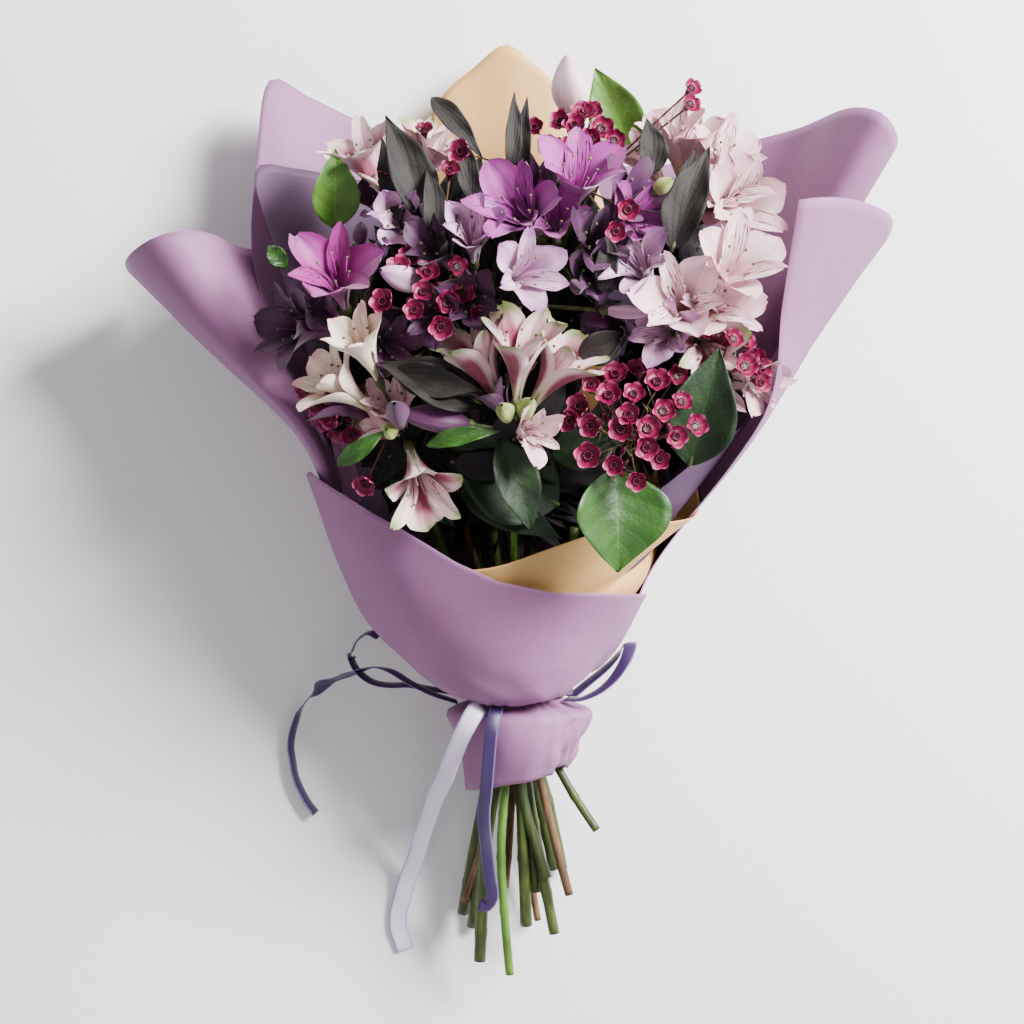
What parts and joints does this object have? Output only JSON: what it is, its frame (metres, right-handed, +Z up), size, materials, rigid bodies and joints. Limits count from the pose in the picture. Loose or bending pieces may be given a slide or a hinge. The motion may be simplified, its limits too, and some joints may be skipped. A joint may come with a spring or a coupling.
{
  "type": "alstroemeria bouquet",
  "caption": "Hand-tied bouquet of alstroemeria, waxflower and salal in lilac and kraft paper with ribbon, lying on its back.",
  "frame": {"origin": "middle of the bouquet, without its loose ribbon tails, on the surface that it lies on", "axes": "+Y from the cut stems to the flowers, +Z up from the surface, +X to the right seen from above with the flowers away"},
  "size_m": [0.4148, 0.5106, 0.1833],
  "materials": {
    "lilac_paper": "matt dyed wrapping paper",
    "kraft_paper": "unbleached kraft, fine fibres",
    "lilac_ribbon": "satin ribbon",
    "violet_ribbon": "satin ribbon",
    "woody_stem": "thin bark",
    "green_stem": "fresh cut stem, waxy",
    "narrow_leaf": "alstroemeria leaf, matt",
    "salal_leaf": "salal leaf, waxy",
    "waxflower": "waxy small petals",
    "cream_petal": "soft petal",
    "magenta_petal": "soft petal",
    "violet_petal": "soft petal",
    "lilac_petal": "soft petal",
    "blush_petal": "soft petal"
  },
  "bodies": {
    "root": {"bow_loop_left": "lilac_ribbon", "bow_loop_right": "violet_ribbon", "bud_lilac": "lilac_petal", "bud_plum": "violet_petal", "bud_white": "blush_petal", "floret_blush_1": "blush_petal", "floret_blush_2": "blush_petal", "floret_blush_3": "blush_petal", "floret_cream_1": "cream_petal", "floret_cream_2": "cream_petal", "floret_cream_3": "blush_petal", "floret_lilac_1": "lilac_petal", "floret_lilac_2": "lilac_petal", "floret_magenta_1": "magenta_petal", "floret_magenta_2": "violet_petal", "floret_pale_1": "blush_petal", "floret_pale_2": "blush_petal", "floret_pale_3": "blush_petal", "floret_pale_4": "lilac_petal", "floret_rose_1": "blush_petal", "floret_shell_1": "blush_petal", "floret_shell_2": "blush_petal", "floret_shell_3": "blush_petal", "floret_violet_1": "violet_petal", "floret_violet_2": "violet_petal", "floret_violet_3": "violet_petal", "leaf_narrow_1": "narrow_leaf", "leaf_narrow_2": "narrow_leaf", "leaf_narrow_3": "narrow_leaf", "leaf_salal_1": "salal_leaf", "leaf_salal_2": "salal_leaf", "leaf_salal_3": "salal_leaf", "leaf_salal_4": "salal_leaf", "leaf_salal_5": "salal_leaf", "paper_back": "lilac_paper", "paper_front": "lilac_paper", "paper_inner": "lilac_paper", "paper_kraft": "kraft_paper", "paper_outer": "lilac_paper", "ribbon_band": "violet_ribbon", "ribbon_tail_curled": "violet_ribbon", "ribbon_tail_lilac": "lilac_ribbon", "ribbon_tail_violet": "violet_ribbon", "stem_blush": "green_stem", "stem_cream": "green_stem", "stem_lilac": "green_stem", "stem_magenta": "green_stem", "stem_pale": "green_stem", "stem_rose": "green_stem", "stem_salal": "woody_stem", "stem_shell": "green_stem", "stem_violet": "green_stem", "stem_wax_front": "woody_stem", "stem_wax_left": "woody_stem", "stem_wax_top": "woody_stem", "wax_corner": "waxflower", "wax_front": "waxflower", "wax_left": "waxflower", "wax_right": "waxflower", "wax_top": "waxflower"}
  },
  "joints": []
}
